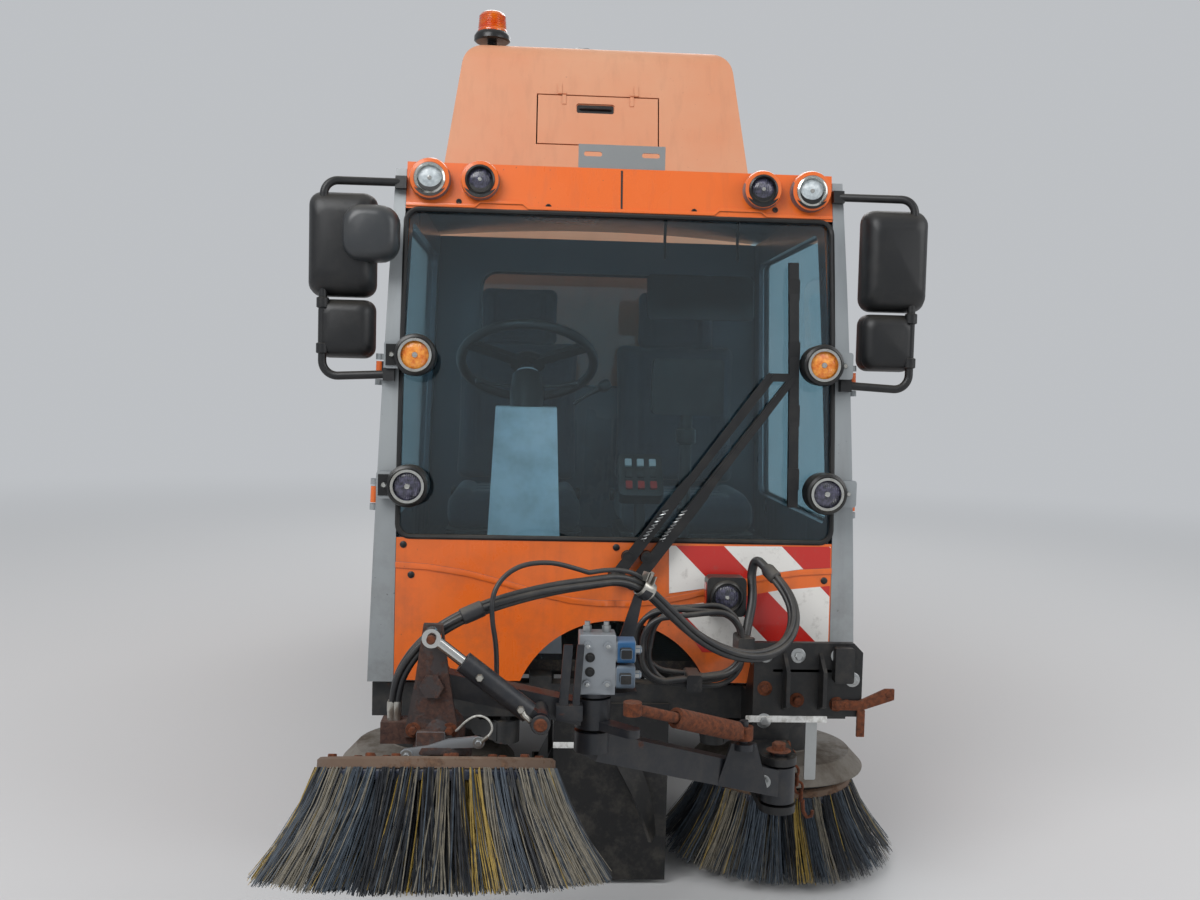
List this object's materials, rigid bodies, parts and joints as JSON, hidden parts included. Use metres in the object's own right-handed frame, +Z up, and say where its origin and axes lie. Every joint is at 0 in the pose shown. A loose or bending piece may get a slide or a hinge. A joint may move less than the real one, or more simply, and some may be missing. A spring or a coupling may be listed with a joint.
{
  "type": "compact road sweeper",
  "caption": "Compact road sweeper: glazed cab, tipping hopper with tail door, side brushes, suction mouth, and a third brush on a hinged arm at the front.",
  "frame": {"origin": "on the road, midway along the whole machine and on its centre plane", "axes": "+Z up; the cab faces -Y; +X is the driver's left"},
  "size_m": [1.71, 5.0535, 2.8499],
  "materials": {
    "body_paint": "orange paint, dusty, faded",
    "hopper_paint": "orange paint bleached by the sun",
    "frame_paint": "black chassis paint under dust",
    "pillar_paint": "silver-grey paint, matt",
    "arm_paint": "brown-grey paint, rusty and dusty",
    "rim_paint": "grey paint",
    "tank_paint": "moulded black plastic, dusty",
    "bare_steel": "ground steel, oily",
    "valve_metal": "machined block, dull",
    "zinc_steel": "zinc-plated steel, dull",
    "cab_trim": "grained dark plastic",
    "seat_cloth": "woven dark cloth",
    "lamp_lens": "moulded lens in a black bezel",
    "beacon_amber": "amber dome",
    "mirror_case": "black case with a mirror face",
    "bristle": "stiff plastic bristles, dusty",
    "flap_rubber": "worn black rubber",
    "hose_rubber": "smooth black hose",
    "tyre": "dusty black rubber",
    "glass": "clear glass, dusty"
  },
  "bodies": {
    "chassis": {"chassis_frame": "frame_paint", "axles": "frame_paint", "engine": "frame_paint", "side_tanks": "tank_paint", "rear_bumper": "frame_paint", "suction_mouth": "frame_paint", "guards_and_flaps": "flap_rubber", "hose_coil": "hose_rubber", "cab_floor": "frame_paint", "cab_front_panel": "body_paint", "cab_pillars": "pillar_paint", "cab_windows": "glass", "cab_roof": "body_paint", "cab_rear_wall": "body_paint", "seats": "seat_cloth", "dashboard": "cab_trim", "wiper": "cab_trim", "mirrors": "mirror_case", "lamps": "lamp_lens", "roof_bracket": "zinc_steel", "arm_bracket": "frame_paint"},
    "steering_wheel": {"steering_wheel": "cab_trim"},
    "knuckle_left": {"knuckle_left": "frame_paint"},
    "knuckle_right": {"knuckle_right": "frame_paint"},
    "front_wheel_left": {"front_tyre_left": "tyre", "front_rim_left": "rim_paint"},
    "front_wheel_right": {"front_tyre_right": "tyre", "front_rim_right": "rim_paint"},
    "rear_wheel_left": {"rear_tyre_left": "tyre", "rear_rim_left": "rim_paint"},
    "rear_wheel_right": {"rear_tyre_right": "tyre", "rear_rim_right": "rim_paint"},
    "door_left": {"door_left": "body_paint", "door_glass_left": "glass"},
    "door_right": {"door_right": "body_paint", "door_glass_right": "glass"},
    "hopper": {"hopper_shell": "hopper_paint", "hopper_subframe": "frame_paint", "beacon": "beacon_amber"},
    "hatch": {"hood_hatch": "hopper_paint"},
    "tail_door": {"hopper_door": "hopper_paint"},
    "lift_barrels": {"lift_cylinder_barrels": "frame_paint"},
    "lift_rods": {"lift_cylinder_rods": "bare_steel"},
    "side_carrier_left": {"side_carrier_left": "frame_paint"},
    "side_carrier_right": {"side_carrier_right": "frame_paint"},
    "side_arm_left": {"side_arm_left": "arm_paint"},
    "side_arm_right": {"side_arm_right": "arm_paint"},
    "side_brush_left": {"side_brush_left": "bristle"},
    "side_brush_right": {"side_brush_right": "bristle"},
    "swing_beam": {"swing_beam": "arm_paint", "valve_block": "valve_metal", "beam_hoses": "hose_rubber"},
    "brush_arm": {"brush_arm": "arm_paint", "arm_hoses": "hose_rubber"},
    "tilt_head": {"tilt_head": "arm_paint"},
    "front_brush": {"front_brush": "bristle"},
    "elbow_barrel": {"elbow_cylinder_barrel": "arm_paint"},
    "elbow_rod": {"elbow_cylinder_rod": "bare_steel"},
    "tilt_barrel": {"tilt_cylinder_barrel": "arm_paint"},
    "tilt_rod": {"tilt_cylinder_rod": "bare_steel"}
  },
  "joints": [
    {"name": "steer_left", "type": "hinge", "parent": "chassis", "child": "knuckle_left", "pos_m": [0.372, -0.349, 0.348], "axis": [0, 0, 1], "range_deg": [-28, 28]},
    {"name": "front_spin_left", "type": "hinge", "parent": "knuckle_left", "child": "front_wheel_left", "pos_m": [0.535, -0.349, 0.348], "axis": [1, 0, 0], "continuous": true},
    {"name": "rear_spin_left", "type": "hinge", "parent": "chassis", "child": "rear_wheel_left", "pos_m": [0.535, 1.601, 0.348], "axis": [1, 0, 0], "continuous": true},
    {"name": "door_left_swing", "type": "hinge", "parent": "chassis", "child": "door_left", "pos_m": [0.667, -1.393, 0.56035], "axis": [0.0291, 0, -0.9996], "range_deg": [0, 70]},
    {"name": "side_swing_left", "type": "hinge", "parent": "chassis", "child": "side_carrier_left", "pos_m": [0.285, -1.409, 0.415], "axis": [0, 0, -1], "range_deg": [0, 20]},
    {"name": "side_lift_left", "type": "hinge", "parent": "side_carrier_left", "child": "side_arm_left", "pos_m": [0.33983, -1.35783, 0.415], "axis": [0.6823, -0.7311, 0], "range_deg": [-2.5, 10]},
    {"name": "side_brush_spin_left", "type": "hinge", "parent": "side_arm_left", "child": "side_brush_left", "pos_m": [0.51, -1.199, 0.2], "axis": [0, 0, 1], "continuous": true},
    {"name": "steer_right", "type": "hinge", "parent": "chassis", "child": "knuckle_right", "pos_m": [-0.372, -0.349, 0.348], "axis": [0, 0, 1], "range_deg": [-28, 28]},
    {"name": "front_spin_right", "type": "hinge", "parent": "knuckle_right", "child": "front_wheel_right", "pos_m": [-0.535, -0.349, 0.348], "axis": [1, 0, 0], "continuous": true},
    {"name": "rear_spin_right", "type": "hinge", "parent": "chassis", "child": "rear_wheel_right", "pos_m": [-0.535, 1.601, 0.348], "axis": [1, 0, 0], "continuous": true},
    {"name": "door_right_swing", "type": "hinge", "parent": "chassis", "child": "door_right", "pos_m": [-0.667, -1.393, 0.56035], "axis": [0.0291, 0, 0.9996], "range_deg": [0, 70]},
    {"name": "side_swing_right", "type": "hinge", "parent": "chassis", "child": "side_carrier_right", "pos_m": [-0.285, -1.409, 0.415], "axis": [0, 0, 1], "range_deg": [0, 20]},
    {"name": "side_lift_right", "type": "hinge", "parent": "side_carrier_right", "child": "side_arm_right", "pos_m": [-0.33983, -1.35783, 0.415], "axis": [0.6823, 0.7311, 0], "range_deg": [-2.5, 10]},
    {"name": "side_brush_spin_right", "type": "hinge", "parent": "side_arm_right", "child": "side_brush_right", "pos_m": [-0.51, -1.199, 0.2], "axis": [0, 0, 1], "continuous": true},
    {"name": "steering_wheel_turn", "type": "hinge", "parent": "chassis", "child": "steering_wheel", "pos_m": [-0.25, -0.924, 1.425], "axis": [0, 0.5299, 0.848], "range_deg": [-340, 340]},
    {"name": "hopper_tip", "type": "hinge", "parent": "chassis", "child": "hopper", "pos_m": [0, 2.191, 0.96], "axis": [-1, 0, 0], "range_deg": [0, 45]},
    {"name": "tail_door_swing", "type": "hinge", "parent": "hopper", "child": "tail_door", "pos_m": [0, 2.161, 2.478], "axis": [1, 0, 0], "range_deg": [0, 85]},
    {"name": "hatch_swing", "type": "hinge", "parent": "hopper", "child": "hatch", "pos_m": [0, 0.06972, 2.49644], "axis": [-1, 0, 0], "range_deg": [0, 85]},
    {"name": "lift_barrel_turn", "type": "hinge", "parent": "chassis", "child": "lift_barrels", "pos_m": [0, 1.909, 0.503], "axis": [-1, 0, 0], "range_deg": [0, 25]},
    {"name": "lift_rod_slide", "type": "slide", "parent": "lift_barrels", "child": "lift_rods", "axis": [0, -0.4383, 0.8988], "range_m": [0, 0.33]},
    {"name": "front_swing", "type": "hinge", "parent": "chassis", "child": "swing_beam", "pos_m": [0.4, -1.719, 0.38], "axis": [0, 0, 1], "range_deg": [0, 55], "deforming": ["beam_hoses"]},
    {"name": "front_elbow", "type": "hinge", "parent": "swing_beam", "child": "brush_arm", "pos_m": [-0.085, -2.009, 0.69], "axis": [0, 0, 1], "range_deg": [-15, 45], "deforming": ["arm_hoses", "beam_hoses"]},
    {"name": "brush_tilt", "type": "hinge", "parent": "brush_arm", "child": "tilt_head", "pos_m": [-0.43, -2.069, 0.722], "axis": [0, 1, 0], "range_deg": [-12, 12], "deforming": ["arm_hoses"]},
    {"name": "front_brush_spin", "type": "hinge", "parent": "tilt_head", "child": "front_brush", "pos_m": [-0.417, -2.099, 0.552], "axis": [0, 0.3256, 0.9455], "continuous": true},
    {"name": "elbow_barrel_turn", "type": "hinge", "parent": "swing_beam", "child": "elbow_barrel", "pos_m": [0.285, -1.854, 0.545], "axis": [0, 0, 1], "range_deg": [-8, 4]},
    {"name": "elbow_rod_slide", "type": "slide", "parent": "elbow_barrel", "child": "elbow_rod", "axis": [-0.7356, -0.6007, 0.3131], "range_m": [-0.095, 0.035]},
    {"name": "tilt_barrel_turn", "type": "hinge", "parent": "brush_arm", "child": "tilt_barrel", "pos_m": [-0.202, -2.145, 0.655], "axis": [0, 1, 0], "range_deg": [-4, 4]},
    {"name": "tilt_rod_slide", "type": "slide", "parent": "tilt_barrel", "child": "tilt_rod", "axis": [-0.7933, 0, 0.6089], "range_m": [-0.02, 0.02]}
  ],
  "couplings": [
    {"joint": "steer_right", "follows": "steer_left", "ratio": 1},
    {"joint": "steering_wheel_turn", "follows": "steer_left", "ratio": 12},
    {"joint": "lift_barrel_turn", "follows": "hopper_tip", "ratio": 0.4484},
    {"joint": "lift_rod_slide", "follows": "hopper_tip", "m_per_rad": 0.4052},
    {"joint": "elbow_barrel_turn", "follows": "front_elbow", "ratio": -0.1281},
    {"joint": "elbow_rod_slide", "follows": "front_elbow", "m_per_rad": -0.1058},
    {"joint": "tilt_barrel_turn", "follows": "brush_tilt", "ratio": 0.2277},
    {"joint": "tilt_rod_slide", "follows": "brush_tilt", "m_per_rad": -0.0852}
  ]
}
